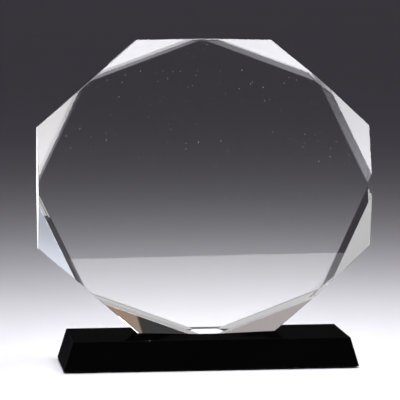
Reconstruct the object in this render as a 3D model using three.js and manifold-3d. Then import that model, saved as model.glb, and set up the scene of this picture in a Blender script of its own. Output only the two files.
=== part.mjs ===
// Crystal plaque award: a thick clear octagon with facet-cut corners, leaning back a little on a black
// glass block. Millimetres, +Z up. The award faces -Y and is symmetric left to right. The origin lies on
// the table, at the middle of the award's outer box.
//
// Pieces: crystal_plaque, bond_film, base_block and four bumper feet. Nothing on it moves.

import * as THREE from 'three';
import { ConvexGeometry } from 'three/addons/geometries/ConvexGeometry.js';
import { mergeVertices } from 'three/addons/utils/BufferGeometryUtils.js';
import Module from 'manifold-3d';

const wasm = await Module();
wasm.setup();

// ---- Plaque: an octagon that is wider than it is tall ----
const PLAQUE_WIDTH = 200;
const PLAQUE_HEIGHT = 175; // along its own faces
const PLAQUE_THICKNESS = 20;
const TOP_EDGE = 81; // length of the straight top and bottom edges
const SIDE_EDGE = 72; // length of the two upright side edges
const LEAN = THREE.MathUtils.degToRad(6); // the top lies further back than the foot

// ---- Corner facets: one flat cut at every corner, on the front and on the back ----
const FACET_DEPTH = 6.5; // how far each cut runs down the corner, from its face
const FRONT_FLAT = 12; // straight edge left between two front cuts
const BACK_FLAT = 3; // the same on the back

// ---- Base block: upright front and back, sloped ends ----
const BASE_LENGTH = 175; // at the bottom
const BASE_TOP_LENGTH = 164;
const BASE_DEPTH = 50;
const BASE_HEIGHT = 17.5;
const FRONT_MARGIN = 20; // from the block's front edge to the plaque's front face

// ---- Bond and feet ----
const BOND_THICKNESS = 0.2; // cured clear adhesive
const CONTACT_GAP = 0.05; // left between two pieces that rest on each other
const BOND_INSET = 0.5; // the adhesive stops short of the plaque's edges
const FOOT_DIAMETER = 9;
const FOOT_TOP_DIAMETER = 9.8; // the domed bumper is widest where it is stuck on
const FOOT_HEIGHT = 1;
const FOOT_INSET = 9; // from the block's edges to a foot's centre
const FOOT_SIDES = 48;

// ---- Heights and depths that follow from these ----
const BASE_BOTTOM = FOOT_HEIGHT + CONTACT_GAP;
const BASE_TOP = BASE_BOTTOM + BASE_HEIGHT;
const BOND_BOTTOM = BASE_TOP + CONTACT_GAP;
const PLAQUE_BOTTOM = BOND_BOTTOM + BOND_THICKNESS + CONTACT_GAP;
const LEAN_REACH = PLAQUE_THICKNESS * Math.cos(LEAN) + PLAQUE_HEIGHT * Math.sin(LEAN);
const AWARD_DEPTH = FRONT_MARGIN + LEAN_REACH; // the plaque's top edge overhangs the block
const BASE_FRONT = -AWARD_DEPTH / 2;
const BASE_MIDDLE = BASE_FRONT + BASE_DEPTH / 2;
const PLAQUE_FRONT = BASE_FRONT + FRONT_MARGIN;

const crystal = { color: 0xf4f8f8, roughness: 0.02, metalness: 0, transparent: true, opacity: 0.35 };
const adhesive = { color: 0xe9eceb, roughness: 0.2, metalness: 0 };
const blackGlass = { color: 0x060607, roughness: 0.05, metalness: 0 };
const clearRubber = { color: 0xb9bdbc, roughness: 0.35, metalness: 0 };

const award = new THREE.Group();

function addPiece(parent, name, geometry, look) {
  const mesh = new THREE.Mesh(geometry, new THREE.MeshStandardMaterial(look));
  mesh.name = name;
  parent.add(mesh);
  return mesh;
}

// A closed geometry as a solid that can be cut.
function toSolid(geometry) {
  const bare = geometry.clone();
  bare.deleteAttribute('normal');
  bare.deleteAttribute('uv');
  const merged = mergeVertices(bare, 1e-4);
  const vertProperties = new Float32Array(merged.attributes.position.array);
  const triVerts = new Uint32Array(merged.index.array);
  return new wasm.Manifold(new wasm.Mesh({ numProp: 3, vertProperties, triVerts }));
}

function toGeometry(solid) {
  const mesh = solid.getMesh();
  const geometry = new THREE.BufferGeometry();
  geometry.setAttribute('position', new THREE.BufferAttribute(mesh.vertProperties, 3));
  geometry.setIndex(new THREE.BufferAttribute(mesh.triVerts, 1));
  geometry.computeVertexNormals();
  return geometry;
}

// Corners of the octagon in its own plane, clockwise from the top left, with height 0 at its foot.
function octagonCorners() {
  const halfTop = TOP_EDGE / 2;
  const halfWidth = PLAQUE_WIDTH / 2;
  const middle = PLAQUE_HEIGHT / 2;
  const low = middle - SIDE_EDGE / 2;
  const high = middle + SIDE_EDGE / 2;
  return [
    [-halfTop, PLAQUE_HEIGHT],
    [halfTop, PLAQUE_HEIGHT],
    [halfWidth, high],
    [halfWidth, low],
    [halfTop, 0],
    [-halfTop, 0],
    [-halfWidth, low],
    [-halfWidth, high],
  ].map(([x, height]) => new THREE.Vector2(x, height));
}

// The points of one face: the two ends of the flat that is left at the middle of every edge.
function faceOutline(corners, flat, depth) {
  const points = [];
  corners.forEach((corner, i) => {
    const next = corners[(i + 1) % corners.length];
    const middle = corner.clone().add(next).multiplyScalar(0.5);
    const along = next.clone().sub(corner).normalize();
    for (const side of [-1, 1]) {
      const end = middle.clone().addScaledVector(along, (side * flat) / 2);
      points.push(new THREE.Vector3(end.x, depth, end.y));
    }
  });
  return points;
}

// The plaque before it is leaned back: the front face lies at depth 0 and its foot at height 0. The
// corner facets are the planes that close the hull between the face outlines and the corner edges.
function facetedOctagon() {
  const corners = octagonCorners();
  const cornerEdges = corners.flatMap((corner) => [
    new THREE.Vector3(corner.x, FACET_DEPTH, corner.y),
    new THREE.Vector3(corner.x, PLAQUE_THICKNESS - FACET_DEPTH, corner.y),
  ]);
  return new ConvexGeometry([
    ...faceOutline(corners, FRONT_FLAT, 0),
    ...faceOutline(corners, BACK_FLAT, PLAQUE_THICKNESS),
    ...cornerEdges,
  ]);
}

// The foot is cut level, so that the leaning plaque sits flat on its block.
function crystalPlaque() {
  const cutHeight = PLAQUE_THICKNESS;
  const leaned = facetedOctagon().rotateX(-LEAN).translate(0, PLAQUE_FRONT, PLAQUE_BOTTOM);
  const below = new THREE.BoxGeometry(PLAQUE_WIDTH * 2, PLAQUE_THICKNESS * 4, cutHeight);
  below.translate(0, PLAQUE_FRONT, PLAQUE_BOTTOM - cutHeight / 2);
  return toGeometry(toSolid(leaned).subtract(toSolid(below)));
}

// The level foot of the plaque, seen from above, is a long octagon, because the corner facets cut its
// corners. The bond fills it up to its inset.
function bondFilm() {
  const footDepth = PLAQUE_THICKNESS / Math.cos(LEAN);
  const length = TOP_EDGE - 2 * BOND_INSET;
  const cornerCut = FACET_DEPTH;
  const front = BOND_INSET;
  const back = footDepth - BOND_INSET;
  const outline = new THREE.Shape();
  outline.moveTo(-FRONT_FLAT / 2, front);
  outline.lineTo(FRONT_FLAT / 2, front);
  outline.lineTo(length / 2, front + cornerCut);
  outline.lineTo(length / 2, back - cornerCut);
  outline.lineTo(BACK_FLAT / 2, back);
  outline.lineTo(-BACK_FLAT / 2, back);
  outline.lineTo(-length / 2, back - cornerCut);
  outline.lineTo(-length / 2, front + cornerCut);
  return new THREE.ExtrudeGeometry(outline, { depth: BOND_THICKNESS, bevelEnabled: false });
}

// The block's end view along Y is a trapezoid, so it is drawn there and extruded over the depth.
function baseBlock() {
  const outline = new THREE.Shape();
  outline.moveTo(-BASE_LENGTH / 2, 0);
  outline.lineTo(BASE_LENGTH / 2, 0);
  outline.lineTo(BASE_TOP_LENGTH / 2, BASE_HEIGHT);
  outline.lineTo(-BASE_TOP_LENGTH / 2, BASE_HEIGHT);
  const block = new THREE.ExtrudeGeometry(outline, { depth: BASE_DEPTH, bevelEnabled: false });
  return block.rotateX(Math.PI / 2).translate(0, BASE_DEPTH / 2, 0);
}

function bumperFoot() {
  const foot = new THREE.CylinderGeometry(FOOT_TOP_DIAMETER / 2, FOOT_DIAMETER / 2, FOOT_HEIGHT, FOOT_SIDES);
  return foot.rotateX(Math.PI / 2).translate(0, 0, FOOT_HEIGHT / 2);
}

addPiece(award, 'crystal_plaque', crystalPlaque(), crystal);
addPiece(award, 'bond_film', bondFilm(), adhesive).position.set(0, PLAQUE_FRONT, BOND_BOTTOM);
addPiece(award, 'base_block', baseBlock(), blackGlass).position.set(0, BASE_MIDDLE, BASE_BOTTOM);

const footReach = { x: BASE_LENGTH / 2 - FOOT_INSET, y: BASE_DEPTH / 2 - FOOT_INSET };
for (const [depthName, ySide] of [['front', -1], ['back', 1]]) {
  for (const [sideName, xSide] of [['left', -1], ['right', 1]]) {
    const foot = addPiece(award, `bumper_foot_${depthName}_${sideName}`, bumperFoot(), clearRubber);
    foot.position.set(xSide * footReach.x, BASE_MIDDLE + ySide * footReach.y, 0);
  }
}

export default award;
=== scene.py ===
"""Crystal plaque award: its polished pieces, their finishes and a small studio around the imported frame."""

import logging
import math
from dataclasses import dataclass, field
from enum import Enum
from typing import Callable

import bmesh
import bpy
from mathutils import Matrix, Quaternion, Vector


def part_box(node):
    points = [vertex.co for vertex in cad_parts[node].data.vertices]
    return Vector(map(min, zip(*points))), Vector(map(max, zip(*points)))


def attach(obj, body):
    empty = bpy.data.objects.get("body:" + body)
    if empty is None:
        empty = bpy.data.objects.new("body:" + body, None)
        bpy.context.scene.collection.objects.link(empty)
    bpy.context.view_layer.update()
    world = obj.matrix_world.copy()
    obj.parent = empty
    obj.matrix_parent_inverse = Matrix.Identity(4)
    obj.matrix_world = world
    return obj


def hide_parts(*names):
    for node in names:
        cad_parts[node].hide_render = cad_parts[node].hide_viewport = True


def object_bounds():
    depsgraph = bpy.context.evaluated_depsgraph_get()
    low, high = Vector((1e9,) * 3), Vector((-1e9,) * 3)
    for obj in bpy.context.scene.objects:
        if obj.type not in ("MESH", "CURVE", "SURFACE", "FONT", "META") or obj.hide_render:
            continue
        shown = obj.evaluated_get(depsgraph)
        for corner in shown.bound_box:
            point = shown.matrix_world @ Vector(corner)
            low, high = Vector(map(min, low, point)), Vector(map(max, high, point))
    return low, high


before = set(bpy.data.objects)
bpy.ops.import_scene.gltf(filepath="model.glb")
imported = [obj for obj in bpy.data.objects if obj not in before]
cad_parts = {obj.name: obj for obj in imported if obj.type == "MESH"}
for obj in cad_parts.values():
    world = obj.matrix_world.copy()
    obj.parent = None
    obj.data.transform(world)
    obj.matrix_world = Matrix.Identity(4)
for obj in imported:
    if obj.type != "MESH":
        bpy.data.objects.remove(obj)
CAD_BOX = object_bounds()

LOG = logging.getLogger("crystal_award")
MM = 0.001
ROOT = "root"
SMALLEST_SPECK = 0.4  # the smallest dust speck's radius over the largest's
LIGHT_PASSED = 0.9  # the share of a lamp's light that clear crystal lets through
MERGE_DISTANCE = 0.01 * MM
FLAT_WITHIN = math.radians(0.4)

Colour = tuple[float, float, float, float]
Range = tuple[float, float]


class Slot(Enum):
    """The record's material slots."""

    CRYSTAL = "clear_crystal"
    ADHESIVE = "cured_adhesive"
    BLACK_GLASS = "black_glass"
    RUBBER = "clear_rubber"


class Corner(Enum):
    """Where each bumper foot sits under the block."""

    FRONT_LEFT = "front_left"
    FRONT_RIGHT = "front_right"
    BACK_LEFT = "back_left"
    BACK_RIGHT = "back_right"


# ---------------------------------------------------------------------------------------------
# Shader writing
# ---------------------------------------------------------------------------------------------


class Wire:
    """A number that comes out of a node, so that shader maths reads as Python maths."""

    def __init__(self, graph: "Graph", socket: bpy.types.NodeSocket) -> None:
        """Wraps one output socket of a node in that graph."""
        self.graph = graph
        self.socket = socket

    def maths(self, operation: str, *operands: "Wire | float") -> "Wire":
        """Adds a Math node.

        Args:
            operation: The Math node's operation, such as "ADD".
            operands: Its inputs in order, as wires or numbers.

        Returns:
            The node's result.
        """
        values = dict(enumerate(operands))
        return self.graph.node("ShaderNodeMath", {"operation": operation}, values)

    def __add__(self, other: "Wire | float") -> "Wire":
        """self + other."""
        return self.maths("ADD", self, other)

    __radd__ = __add__

    def __mul__(self, other: "Wire | float") -> "Wire":
        """self * other."""
        return self.maths("MULTIPLY", self, other)

    __rmul__ = __mul__

    def __sub__(self, other: "Wire | float") -> "Wire":
        """self - other."""
        return self.maths("SUBTRACT", self, other)

    def __rsub__(self, other: float) -> "Wire":
        """other - self."""
        return self.maths("SUBTRACT", other, self)

    def __lt__(self, other: "Wire | float") -> "Wire":
        """1 where self is less than other, else 0."""
        return self.maths("LESS_THAN", self, other)

    def ramp(self, low: float, high: float, at_low: float, at_high: float) -> "Wire":
        """Maps a range of this value smoothly to another range.

        Args:
            low: The value that gives at_low.
            high: The value that gives at_high.
            at_low: The result at low and below.
            at_high: The result at high and above.

        Returns:
            The mapped value.
        """
        settings = {"interpolation_type": "SMOOTHSTEP"}
        values = {"Value": self, "From Min": low, "From Max": high, "To Min": at_low, "To Max": at_high}
        return self.graph.node("ShaderNodeMapRange", settings, values)

    def rise(self, over: Range) -> "Wire":
        """0 below a range, 1 above it, and a smooth rise across it."""
        return self.ramp(*over, 0.0, 1.0)

    def fall(self, over: Range) -> "Wire":
        """1 below a range, 0 above it, and a smooth fall across it."""
        return self.ramp(*over, 1.0, 0.0)


class Graph:
    """The node tree of one material or world."""

    def __init__(self, owner: bpy.types.Material | bpy.types.World) -> None:
        """Clears the owner's tree and starts a new one."""
        owner.use_nodes = True
        self.tree = owner.node_tree
        self.tree.nodes.clear()

    def add(
        self,
        kind: str,
        settings: dict[str, object] | None = None,
        inputs: dict[str | int, object] | None = None,
    ) -> bpy.types.Node:
        """Adds one node.

        Args:
            kind: The node's type, such as "ShaderNodeTexNoise".
            settings: The node's own properties, which are set first. A colour ramp's are its "stops".
            inputs: Values or wires for its sockets, by name or number.

        Returns:
            The node.
        """
        made = self.tree.nodes.new(kind)
        for name, value in (settings or {}).items():
            if name == "stops":
                self.set_stops(made.color_ramp, value)
            else:
                setattr(made, name, value)
        for key, value in (inputs or {}).items():
            socket = made.inputs[key]
            if isinstance(value, Wire):
                self.tree.links.new(value.socket, socket)
            else:
                socket.default_value = value
        return made

    @staticmethod
    def set_stops(ramp: bpy.types.ColorRamp, stops: list[tuple[float, Colour]]) -> None:
        """Gives a colour ramp its stops: positions and their colours, in order."""
        while len(ramp.elements) < len(stops):
            ramp.elements.new(1.0)
        for element, (position, colour) in zip(ramp.elements, stops):
            element.position = position
            element.color = colour

    def node(
        self,
        kind: str,
        settings: dict[str, object] | None = None,
        inputs: dict[str | int, object] | None = None,
        output: str | int = 0,
    ) -> Wire:
        """Adds one node and takes a wire from one of its outputs.

        Args:
            kind: The node's type.
            settings: The node's own properties.
            inputs: Values or wires for its sockets, by name or number.
            output: The output socket that is returned.

        Returns:
            A wire from that output.
        """
        return Wire(self, self.add(kind, settings, inputs).outputs[output])

    def ramp_colours(self, factor: Wire, stops: list[tuple[float, Colour]]) -> Wire:
        """The colour that a value from 0 to 1 has among some stops."""
        return self.node("ShaderNodeValToRGB", {"stops": stops}, {"Fac": factor}, "Color")

    def mix_colours(self, factor: Wire, first: Wire, second: Wire | Colour) -> Wire:
        """The second colour laid over the first by a factor from 0 to 1."""
        return self.node("ShaderNodeMix", {"data_type": "RGBA"}, {0: factor, 6: first, 7: second}, 2)

    def part_of(self, vector: Wire, axis: str) -> Wire:
        """One of a vector's three numbers, by its axis."""
        return self.node("ShaderNodeSeparateXYZ", None, {"Vector": vector}, axis)

    def place(self) -> Wire:
        """The point on the piece, in metres in the award's frame."""
        return self.node("ShaderNodeTexCoord", output="Object")

    def noise(self, where: Wire, scale: float, detail: float = 3.0, roughness: float = 0.5) -> Wire:
        """Soft random variation from 0 to 1.

        Args:
            where: The point that is looked up.
            scale: Lumps per metre.
            detail: How many finer layers are added.
            roughness: How strong those layers are.

        Returns:
            The variation.
        """
        values = {"Vector": where, "Scale": scale, "Detail": detail, "Roughness": roughness}
        return self.node("ShaderNodeTexNoise", None, values, "Fac")

    def specks(self, where: Wire, per_metre: float, radius: float, share: float) -> Wire:
        """Small round specks of dust, scattered at random.

        Args:
            where: The point that is looked up.
            per_metre: Cells per metre, each of which may hold one speck.
            radius: A speck's largest radius in metres.
            share: The share of the cells that hold one.

        Returns:
            1 on a speck and 0 elsewhere.
        """
        values = {"Vector": where, "Scale": per_metre, "Randomness": 1.0}
        settings = {"voronoi_dimensions": "3D", "feature": "F1"}
        cell = self.node("ShaderNodeTexVoronoi", settings, values, "Distance")
        chance = self.node("ShaderNodeTexVoronoi", settings, values, "Color")
        pick = self.node("ShaderNodeSeparateColor", None, {"Color": chance}, "Red")
        size = self.node("ShaderNodeSeparateColor", None, {"Color": chance}, "Green")
        reach = (size * (1.0 - SMALLEST_SPECK) + SMALLEST_SPECK) * (radius * per_metre)
        return (cell < reach) * (pick < share)

    def bump(self, height: Wire, distance: float, strength: float = 1.0) -> Wire:
        """A normal that follows a height in metres."""
        values = {"Height": height, "Distance": distance, "Strength": strength}
        return self.node("ShaderNodeBump", None, values)

    def principled(self, inputs: dict[str, object]) -> Wire:
        """The general-purpose surface shader."""
        return self.node("ShaderNodeBsdfPrincipled", None, inputs)

    def mix(self, factor: Wire | float, first: Wire, second: Wire) -> Wire:
        """The second shader laid over the first by a factor from 0 to 1."""
        return self.node("ShaderNodeMixShader", None, {0: factor, 1: first, 2: second})

    def through_to_lamps(self, glass: Wire, tint: Colour) -> Wire:
        """Clear glass that casts only a faint shadow.

        Args:
            glass: The glass shader.
            tint: The colour of the light that comes through.

        Returns:
            The shader.
        """
        lamps = self.node("ShaderNodeLightPath", output="Is Shadow Ray")
        clear = self.node("ShaderNodeBsdfTransparent", None, {"Color": tint})
        return self.mix(lamps * LIGHT_PASSED, glass, clear)

    def surface(self, shader: Wire, kind: str = "ShaderNodeOutputMaterial") -> None:
        """Makes a shader the surface that is shown, through an output node of that kind."""
        self.add(kind, None, {"Surface": shader})


# ---------------------------------------------------------------------------------------------
# Finishes
# ---------------------------------------------------------------------------------------------


@dataclass(frozen=True)
class Finish:
    """What every finish has: a name and a way to write its material."""

    name: str

    def write(self, graph: Graph) -> None:
        """Adds the finish's nodes to an empty graph."""
        raise NotImplementedError

    def material(self) -> bpy.types.Material:
        """The finish as a Blender material, made once."""
        found = bpy.data.materials.get(self.name)
        if found is None:
            found = bpy.data.materials.new(self.name)
            self.write(Graph(found))
        return found


@dataclass(frozen=True)
class ClearCrystal(Finish):
    """Optical crystal, cut flat and polished, with a trace of dust on it."""

    name: str = "clear_crystal_polished"
    refraction: float = 1.52
    clean: Colour = (0.992, 0.998, 0.997, 1.0)
    tinted: Colour = (0.982, 0.992, 0.990, 1.0)
    haze: float = 0.012
    ripple: float = 0.004 * MM
    dust: Colour = (0.85, 0.86, 0.88, 1.0)
    dust_cells: float = 260.0
    dust_radius: float = 0.42 * MM
    dust_share: float = 0.9
    dust_cover: float = 0.13

    def write(self, graph: Graph) -> None:
        """Clear glass with faint polishing ripple, a little haze and pinhead specks of dust."""
        where = graph.place()
        cloud = graph.noise(where, 14.0)
        body = graph.ramp_colours(cloud, [(0.3, self.clean), (0.7, self.tinted)])
        ripple = graph.noise(where, 40.0, 1.0)
        glass = graph.principled({
            "Base Color": body,
            "Roughness": graph.noise(where, 90.0).ramp(0.45, 0.8, 0.0, self.haze),
            "IOR": self.refraction,
            "Transmission Weight": 1.0,
            "Normal": graph.bump(ripple, self.ripple),
        })
        speck = graph.specks(where, self.dust_cells, self.dust_radius, self.dust_share)
        dusty = graph.principled({"Base Color": self.dust, "Roughness": 0.8})
        worn = graph.mix(speck * self.dust_cover, glass, dusty)
        graph.surface(graph.through_to_lamps(worn, self.tinted))


@dataclass(frozen=True)
class GroundArris(Finish):
    """The narrow edge break round every facet, which is ground and only half polished."""

    name: str = "crystal_edge_break"
    refraction: float = 1.52
    colour: Colour = (0.97, 0.98, 0.985, 1.0)
    grinding: float = 0.01 * MM

    def write(self, graph: Graph) -> None:
        """Clear glass with fine grinding marks, so the edge catches light as a thin line."""
        where = graph.place()
        grind = graph.noise(where, 1500.0, 2.0)
        glass = graph.principled({
            "Base Color": self.colour,
            "Roughness": grind.ramp(0.3, 0.7, 0.05, 0.22),
            "IOR": self.refraction,
            "Transmission Weight": 1.0,
            "Normal": graph.bump(grind, self.grinding),
        })
        graph.surface(graph.through_to_lamps(glass, self.colour))


@dataclass(frozen=True)
class BlackGlass(Finish):
    """Solid black glass, polished to a high gloss."""

    name: str = "black_glass_polished"
    deep: Colour = (0.0004, 0.0004, 0.0005, 1.0)
    worn: Colour = (0.0014, 0.0014, 0.0016, 1.0)
    dust: Colour = (0.25, 0.25, 0.26, 1.0)
    sheen: float = 0.022
    smeared_sheen: float = 0.0132
    brushing: tuple[float, float, float] = (40.0, 900.0, 900.0)
    hairline_depth: float = 0.002 * MM
    dust_cells: float = 170.0
    dust_radius: float = 0.35 * MM
    dust_share: float = 0.12
    dust_cover: float = 0.08

    def write(self, graph: Graph) -> None:
        """Near-black with faint handling smears, hairline polish marks and a few dust specks."""
        where = graph.place()
        smear = graph.noise(where, 30.0, 4.0, 0.6)
        brushed = graph.node("ShaderNodeMapping", None, {"Vector": where, "Scale": self.brushing})
        hairline = graph.noise(brushed, 1.0)
        body = graph.principled({
            "Base Color": graph.ramp_colours(smear, [(0.35, self.deep), (0.75, self.worn)]),
            "Roughness": 0.5,
            "Specular IOR Level": 0.0,
        })
        gloss = graph.principled({
            "Base Color": self.deep,
            "Roughness": smear.ramp(0.4, 0.75, 0.03, 0.09) + hairline.ramp(0.6, 0.8, 0.0, 0.04),
            "IOR": 1.5,
            "Normal": graph.bump(hairline, self.hairline_depth),
        })
        glass = graph.mix(smear.ramp(0.3, 0.7, self.sheen, self.smeared_sheen), body, gloss)
        speck = graph.specks(where, self.dust_cells, self.dust_radius, self.dust_share)
        dusty = graph.principled({"Base Color": self.dust, "Roughness": 0.9})
        graph.surface(graph.mix(speck * self.dust_cover, glass, dusty))


@dataclass(frozen=True)
class CuredAdhesive(Finish):
    """Clear adhesive, cured between glass and black glass, so that it shows black."""

    name: str = "cured_adhesive_film"
    thin: Colour = (0.0030, 0.0030, 0.0034, 1.0)
    thick: Colour = (0.0120, 0.0120, 0.0126, 1.0)
    flow_depth: float = 0.01 * MM

    def write(self, graph: Graph) -> None:
        """Black seen through a clear film, with slight flow marks."""
        where = graph.place()
        flow = graph.noise(where, 60.0, 2.0)
        film = graph.principled({
            "Base Color": graph.ramp_colours(flow, [(0.35, self.thin), (0.7, self.thick)]),
            "Roughness": flow.ramp(0.3, 0.7, 0.12, 0.25),
            "Specular IOR Level": 0.1,
            "Normal": graph.bump(flow, self.flow_depth),
        })
        graph.surface(film)


@dataclass(frozen=True)
class ClearRubber(Finish):
    """Soft clear polyurethane, slightly milky."""

    name: str = "clear_rubber_foot"
    milk: Colour = (0.62, 0.64, 0.64, 1.0)
    clear: Colour = (0.80, 0.82, 0.82, 1.0)
    skin_depth: float = 0.02 * MM

    def write(self, graph: Graph) -> None:
        """Half clear, with fine bubbles and a soft skin."""
        where = graph.place()
        cloud = graph.noise(where, 700.0)
        rubber = graph.principled({
            "Base Color": graph.ramp_colours(cloud, [(0.3, self.milk), (0.7, self.clear)]),
            "Roughness": cloud.ramp(0.3, 0.7, 0.3, 0.45),
            "IOR": 1.47,
            "Transmission Weight": 0.6,
            "Normal": graph.bump(cloud, self.skin_depth),
        })
        graph.surface(rubber)


@dataclass(frozen=True)
class SeamlessPaper(Finish):
    """The pale studio paper that the award stands on."""

    name: str = "seamless_paper"
    pale: Colour = (0.850, 0.840, 0.900, 1.0)
    shade: Colour = (0.825, 0.815, 0.872, 1.0)
    tooth_depth: float = 0.02 * MM

    def write(self, graph: Graph) -> None:
        """Matt white paper with a fine tooth."""
        where = graph.place()
        tooth = graph.noise(where, 900.0, 2.0)
        cloud = graph.noise(where, 6.0)
        paper = graph.principled({
            "Base Color": graph.ramp_colours(cloud, [(0.3, self.pale), (0.7, self.shade)]),
            "Roughness": 0.9,
            "Specular IOR Level": 0.1,
            "Normal": graph.bump(tooth, self.tooth_depth),
        })
        graph.surface(paper)


# ---------------------------------------------------------------------------------------------
# Bench work
# ---------------------------------------------------------------------------------------------


class Bench:
    """Modelling steps that several pieces share."""

    @staticmethod
    def clear() -> None:
        """Deselects everything, in object mode."""
        if bpy.context.object is not None and bpy.context.object.mode != "OBJECT":
            bpy.ops.object.mode_set(mode="OBJECT")
        bpy.ops.object.select_all(action="DESELECT")

    @staticmethod
    def take(piece: bpy.types.Object) -> None:
        """Selects one piece alone and makes it active."""
        Bench.clear()
        piece.select_set(True)
        bpy.context.view_layer.objects.active = piece

    @staticmethod
    def copy_of(node: str, name: str, looks: list[Finish]) -> bpy.types.Object:
        """A CAD node's own shape as a new piece, with its loose triangles joined into flat faces.

        Args:
            node: The CAD node.
            name: The new piece's name.
            looks: Its finishes, in slot order. All faces start with the first.

        Returns:
            The new piece, at the origin.
        """
        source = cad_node(node)
        piece = bpy.data.objects.new(name, source.data.copy())
        bpy.context.scene.collection.objects.link(piece)
        piece.data.materials.clear()
        for look in looks:
            piece.data.materials.append(look.material())
        stored_normals = piece.data.attributes.get("custom_normal")
        if stored_normals is not None:
            piece.data.attributes.remove(stored_normals)
        Bench.take(piece)
        bpy.ops.object.mode_set(mode="EDIT")
        bpy.ops.mesh.select_all(action="SELECT")
        bpy.ops.mesh.remove_doubles(threshold=MERGE_DISTANCE)
        bpy.ops.mesh.dissolve_limited(angle_limit=FLAT_WITHIN)
        bpy.ops.mesh.select_all(action="DESELECT")
        bpy.ops.object.mode_set(mode="OBJECT")
        return piece

    @staticmethod
    def select_edges(piece: bpy.types.Object, wanted: Callable[[bmesh.types.BMEdge], bool]) -> None:
        """Selects the edges of an object in edit mode that pass a test.

        Args:
            piece: The object, in edit mode.
            wanted: True for an edge that is to be selected.
        """
        bpy.ops.mesh.select_mode(type="EDGE")
        bpy.ops.mesh.select_all(action="DESELECT")
        mesh = bmesh.from_edit_mesh(piece.data)
        for edge in mesh.edges:
            edge.select_set(wanted(edge))
        bmesh.update_edit_mesh(piece.data)

    @staticmethod
    def break_edges(
        piece: bpy.types.Object, width: float, segments: int, sharper_than: float, above: float = 0.0
    ) -> None:
        """Puts a narrow bevel on every edge that turns by more than an angle, in the second material.

        Args:
            piece: The object that is cut.
            width: The bevel's width in metres.
            segments: How many strips it has.
            sharper_than: The smallest turn, in degrees, that is bevelled.
            above: Edges that lie no higher than this height stay sharp.
        """
        limit = math.radians(sharper_than)

        def is_broken(edge: bmesh.types.BMEdge) -> bool:
            """True for a sharp edge that rises past the height."""
            return edge.calc_face_angle() > limit and max(v.co.z for v in edge.verts) > above

        Bench.take(piece)
        bpy.ops.object.mode_set(mode="EDIT")
        Bench.select_edges(piece, is_broken)
        bpy.ops.mesh.bevel(
            offset_type="WIDTH",
            offset=width,
            segments=segments,
            profile=0.5,
            material=1,
            clamp_overlap=True,
        )
        bpy.ops.object.mode_set(mode="OBJECT")

    @staticmethod
    def fit(piece: bpy.types.Object, slot: Slot, stands_for: str) -> None:
        """Puts a finished piece on the award in place of its CAD node.

        Args:
            piece: The finished mesh, at the origin.
            slot: The record's slot for the piece's finish. Not used.
            stands_for: The CAD node that it replaces.
        """
        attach(piece, ROOT)
        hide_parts(stands_for)
        LOG.info("%s: %d faces", piece.name, len(piece.data.polygons))


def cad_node(name: str) -> bpy.types.Object:
    """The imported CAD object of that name."""
    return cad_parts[name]


# ---------------------------------------------------------------------------------------------
# Pieces
# ---------------------------------------------------------------------------------------------


@dataclass
class CrystalPlaque:
    """The clear octagon with its corner facets."""

    edge_break: float = 0.35 * MM
    strips: int = 1
    sharper_than: float = 3.0
    crystal: ClearCrystal = field(default_factory=ClearCrystal)
    arris: GroundArris = field(default_factory=GroundArris)

    def build(self) -> bpy.types.Object:
        """Polishes the CAD shape and breaks its edges, all but those round the foot.

        Returns:
            The plaque.
        """
        piece = Bench.copy_of("crystal_plaque", "plaque_polished", [self.crystal, self.arris])
        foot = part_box("crystal_plaque")[0].z + self.edge_break
        Bench.break_edges(piece, self.edge_break, self.strips, self.sharper_than, foot)
        Bench.fit(piece, Slot.CRYSTAL, "crystal_plaque")
        return piece


@dataclass
class BondFilm:
    """The cured adhesive between the plaque and its block."""

    adhesive: CuredAdhesive = field(default_factory=CuredAdhesive)

    def build(self) -> bpy.types.Object:
        """Gives the film's own shape its finish.

        Returns:
            The film.
        """
        piece = Bench.copy_of("bond_film", "bond_film_cured", [self.adhesive])
        Bench.fit(piece, Slot.ADHESIVE, "bond_film")
        return piece


@dataclass
class BaseBlock:
    """The black glass block with sloped ends."""

    edge_break: float = 0.6 * MM
    strips: int = 3
    sharper_than: float = 20.0
    glass: BlackGlass = field(default_factory=BlackGlass)

    def build(self) -> bpy.types.Object:
        """Breaks the block's edges and polishes it.

        Returns:
            The block.
        """
        piece = Bench.copy_of("base_block", "base_block_polished", [self.glass, self.glass])
        Bench.break_edges(piece, self.edge_break, self.strips, self.sharper_than)
        Bench.fit(piece, Slot.BLACK_GLASS, "base_block")
        return piece


@dataclass
class BumperFoot:
    """One stick-on foot, domed towards the table."""

    corner: Corner
    round_over: float = 0.45 * MM
    round_strips: int = 4
    smooth_below: float = 40.0
    rubber: ClearRubber = field(default_factory=ClearRubber)

    def build(self) -> bpy.types.Object:
        """Turns the CAD disc into a moulded dome.

        Returns:
            The foot.
        """
        node = f"bumper_foot_{self.corner.value}"
        piece = Bench.copy_of(node, f"{node}_moulded", [self.rubber])
        low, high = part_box(node)
        middle = (low.z + high.z) / 2
        Bench.take(piece)
        bpy.ops.object.mode_set(mode="EDIT")
        Bench.select_edges(piece, lambda edge: all(vertex.co.z < middle for vertex in edge.verts))
        bpy.ops.mesh.bevel(
            offset_type="OFFSET", offset=self.round_over, segments=self.round_strips, profile=0.5
        )
        bpy.ops.object.mode_set(mode="OBJECT")
        bpy.ops.object.shade_smooth_by_angle(angle=math.radians(self.smooth_below))
        Bench.fit(piece, Slot.RUBBER, node)
        return piece


# ---------------------------------------------------------------------------------------------
# Studio
# ---------------------------------------------------------------------------------------------


def bearing(azimuth: float, elevation: float) -> Vector:
    """The direction in which something stands, seen from the award.

    Args:
        azimuth: Degrees from straight in front, towards the viewer's right.
        elevation: Degrees above level.

    Returns:
        A vector of length 1.
    """
    turn, lift = math.radians(azimuth), math.radians(elevation)
    return Vector((math.sin(turn) * math.cos(lift), -math.cos(turn) * math.cos(lift), math.sin(lift)))


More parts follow.
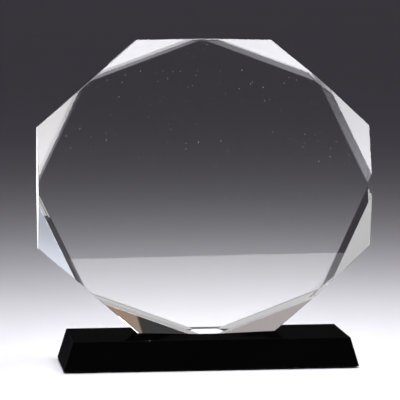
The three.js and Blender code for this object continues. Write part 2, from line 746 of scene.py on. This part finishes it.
@dataclass
class Lamp:
    """One soft box, which stands at a bearing from the point that it faces."""

    name: str
    aim: Vector
    azimuth: float
    elevation: float
    distance: float
    size: tuple[float, float]
    power: float
    lights_paper: bool = False
    shows_in_gloss: bool = True
    spread: float = 180.0
    colour: tuple[float, float, float] = (1.0, 1.0, 1.0)

    def build(self) -> bpy.types.Object:
        """Hangs the lamp and turns it to face its aim.

        Returns:
            The lamp.
        """
        data = bpy.data.lights.new(self.name, "AREA")
        data.shape = "RECTANGLE"
        data.size, data.size_y = self.size
        data.energy = self.power
        data.color = self.colour
        data.spread = math.radians(self.spread)
        lamp = bpy.data.objects.new(self.name, data)
        bpy.context.scene.collection.objects.link(lamp)
        away = bearing(self.azimuth, self.elevation)
        lamp.location = self.aim + away * self.distance
        lamp.rotation_euler = away.to_track_quat("Z", "Y").to_euler()
        lamp.visible_camera = False
        lamp.visible_diffuse = self.lights_paper
        lamp.visible_glossy = self.shows_in_gloss
        lamp.visible_transmission = self.shows_in_gloss
        return lamp


@dataclass
class Studio:
    """Pale paper, soft boxes and a dim room that glows behind the award.

    A side, a lift or an edge of the glow is given on a vector of length 1: how far it points to the
    viewer's right, up, or past a line that leans to the right. A range is where one look turns into
    the next.
    """

    floor_size: float = 30.0
    paper: SeamlessPaper = field(default_factory=SeamlessPaper)

    pale_glow: Colour = (0.52, 0.515, 0.52, 1.0)
    cool_glow: Colour = (0.46, 0.48, 0.55, 1.0)
    cool_side: Range = (0.3, 0.5)
    warm_glow: Colour = (0.44, 0.40, 0.40, 1.0)
    warm_side: float = 0.10
    brown_glow: Colour = (0.37, 0.265, 0.195, 1.0)
    brown_side: Range = (0.30, 0.322)
    grey_card: Colour = (0.30, 0.295, 0.30, 1.0)
    grey_side: float = 0.328
    high_glow_lift: Range = (0.16, 0.32)
    drift: float = 0.3
    drift_scale: float = 2.2

    floor_line: Range = (-0.06, 0.0)
    top_line: Range = (0.48, 0.56)
    behind: Range = (0.58, 0.74)
    front_share: float = 0.1

    dark_card: float = 0.82
    dark_card_lift: Range = (0.28, 0.32)
    dark_card_slope: float = 0.3845
    dark_card_edge: Range = (0.0, 0.0015)
    bright_card: float = 0.8
    bright_card_side: Range = (0.40, 0.50)
    bright_card_lift: Range = (0.116, 0.138)

    ceiling_glow: Colour = (0.3, 0.2, 1.0, 1.0)
    ceiling_line: Range = (0.58, 0.66)
    ceiling_share: float = 0.013

    def build(self) -> None:
        """Lays the paper, hangs the lamps and dims the room."""
        low, high = CAD_BOX
        self.lay_paper(low.z)
        for lamp in self.lamps(low, high):
            lamp.build()
        self.dim_room()

    def lamps(self, low: Vector, high: Vector) -> list[Lamp]:
        """Plans the soft boxes, strips and cards.

        Args:
            low: The lowest corner of the award's box.
            high: Its highest corner.

        Returns:
            The lamps. Those that don't light the paper show only in the glass.
        """
        middle = (low + high) / 2
        before_foot = Vector((0.04, -0.10, low.z))
        left_edge = Vector((low.x, 0.0, middle.z + 0.010))
        warm_white = (1.0, 0.97, 0.93)
        return [
            Lamp("overhead_box", before_foot, 0.0, 90.0, 0.55, (0.52, 0.40), 4.7, lights_paper=True),
            Lamp("low_strip", middle, 8.0, 1.3, 1.5, (0.7, 0.09), 0.42),
            Lamp("left_box", middle, -47.0, 27.0, 1.0, (0.36, 0.36), 3.6, colour=warm_white),
            Lamp("right_box", middle, 63.0, 30.0, 1.0, (0.36, 0.60), 5.6),
            Lamp("edge_card", left_edge, 184.1, -5.6, 0.302, (0.04, 0.14), 0.03),
            Lamp("back_strip", middle, 172.0, 13.0, 1.5, (0.16, 0.2), 0.07),
            Lamp(
                "dust_raker", middle, -20.0, 0.5, 1.0, (0.3, 0.12), 0.041,
                lights_paper=True, shows_in_gloss=False, spread=30.0,
            ),
        ]

    def lay_paper(self, height: float) -> None:
        """Lays the paper under the feet.

        Args:
            height: The height of the surface that the award stands on.
        """
        Bench.clear()
        bpy.ops.mesh.primitive_grid_add(
            x_subdivisions=2, y_subdivisions=2, size=self.floor_size, location=(0.0, 0.0, height)
        )
        floor = bpy.context.object
        floor.name = "studio_paper"
        floor.data.materials.append(self.paper.material())

    def dim_room(self) -> None:
        """Lights the room with a glow behind the award, two cards in it and a faint blue ceiling."""
        world = bpy.data.worlds.new("studio_room")
        bpy.context.scene.world = world
        graph = Graph(world)
        direction = graph.node("ShaderNodeTexCoord", output="Generated")
        side = graph.part_of(direction, "X")
        ahead = graph.part_of(direction, "Y")
        lift = graph.part_of(direction, "Z")
        drift = (graph.noise(direction, self.drift_scale, 1.0) - 0.5) * self.drift
        glow = self.glow_colour(graph, side, lift + drift)
        ceiling = lift.rise(self.ceiling_line)
        strength = self.glow_strength(side, ahead, lift) + ceiling * self.ceiling_share
        colour = graph.mix_colours(ceiling, glow, self.ceiling_glow)
        light = graph.node("ShaderNodeBackground", None, {"Color": colour, "Strength": strength})
        graph.surface(light, "ShaderNodeOutputWorld")

    def glow_colour(self, graph: Graph, side: Wire, lift: Wire) -> Wire:
        """The glow's colour, pale to cool low down and warm to brown higher up.

        Args:
            graph: The room's node tree.
            side: How far the direction points to the right.
            lift: How far it points up.

        Returns:
            The colour.
        """
        low = graph.ramp_colours(side.rise(self.cool_side), [(0.0, self.pale_glow), (1.0, self.cool_glow)])
        brown_from, brown_to = self.brown_side
        high = graph.ramp_colours(side, [
            (self.warm_side, self.warm_glow),
            (brown_from, self.brown_glow),
            (brown_to, self.brown_glow),
            (self.grey_side, self.grey_card),
        ])
        return graph.mix_colours(lift.rise(self.high_glow_lift), low, high)

    def glow_strength(self, side: Wire, ahead: Wire, lift: Wire) -> Wire:
        """The glow's strength, full behind the award and faint in front, with a dark and a bright card.

        Args:
            side: How far the direction points to the right.
            ahead: How far it points away behind the award.
            lift: How far it points up.

        Returns:
            The strength.
        """
        height = lift.rise(self.floor_line) * lift.fall(self.top_line)
        width = ahead.ramp(*self.behind, self.front_share, 1.0)
        past_edge = (side - ahead * self.dark_card_slope).rise(self.dark_card_edge)
        dark = lift.rise(self.dark_card_lift) * past_edge
        bright = side.rise(self.bright_card_side) * lift.fall(self.bright_card_lift)
        return height * width * (1.0 - self.dark_card * dark) * (1.0 + self.bright_card * bright)


@dataclass
class Viewpoint:
    """A long lens, a little to the left of the award and just above its middle."""

    aside: float = -4.0 * MM
    behind: float = 0.9 * MM
    above_foot: float = 78.8 * MM
    azimuth: float = -8.0
    elevation: float = 6.3
    roll: float = 0.3
    distance: float = 1.426
    lens: float = 216.0
    sensor: float = 36.0
    nearest: float = 0.05
    farthest: float = 60.0

    def build(self) -> bpy.types.Object:
        """Sets up the camera, aimed a set height above the plaque's foot.

        Returns:
            The camera.
        """
        data = bpy.data.cameras.new("studio_camera")
        data.lens = self.lens
        data.sensor_width = self.sensor
        data.clip_start, data.clip_end = self.nearest, self.farthest
        camera = bpy.data.objects.new("studio_camera", data)
        bpy.context.scene.collection.objects.link(camera)
        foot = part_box("crystal_plaque")[0].z
        target = Vector((self.aside, self.behind, foot + self.above_foot))
        away = bearing(self.azimuth, self.elevation)
        camera.location = target + away * self.distance
        tilt = Quaternion((0.0, 0.0, 1.0), math.radians(self.roll))
        camera.rotation_euler = (away.to_track_quat("Z", "Y") @ tilt).to_euler()
        bpy.context.scene.camera = camera
        return camera


def main() -> None:
    """Builds every piece, then the studio and the camera."""
    logging.basicConfig(level=logging.INFO, format="%(name)s: %(message)s")
    CrystalPlaque().build()
    BondFilm().build()
    BaseBlock().build()
    for corner in Corner:
        BumperFoot(corner).build()
    Studio().build()
    Viewpoint().build()
    bpy.context.scene.view_settings.view_transform = "Standard"


if __name__ == "__main__":
    main()
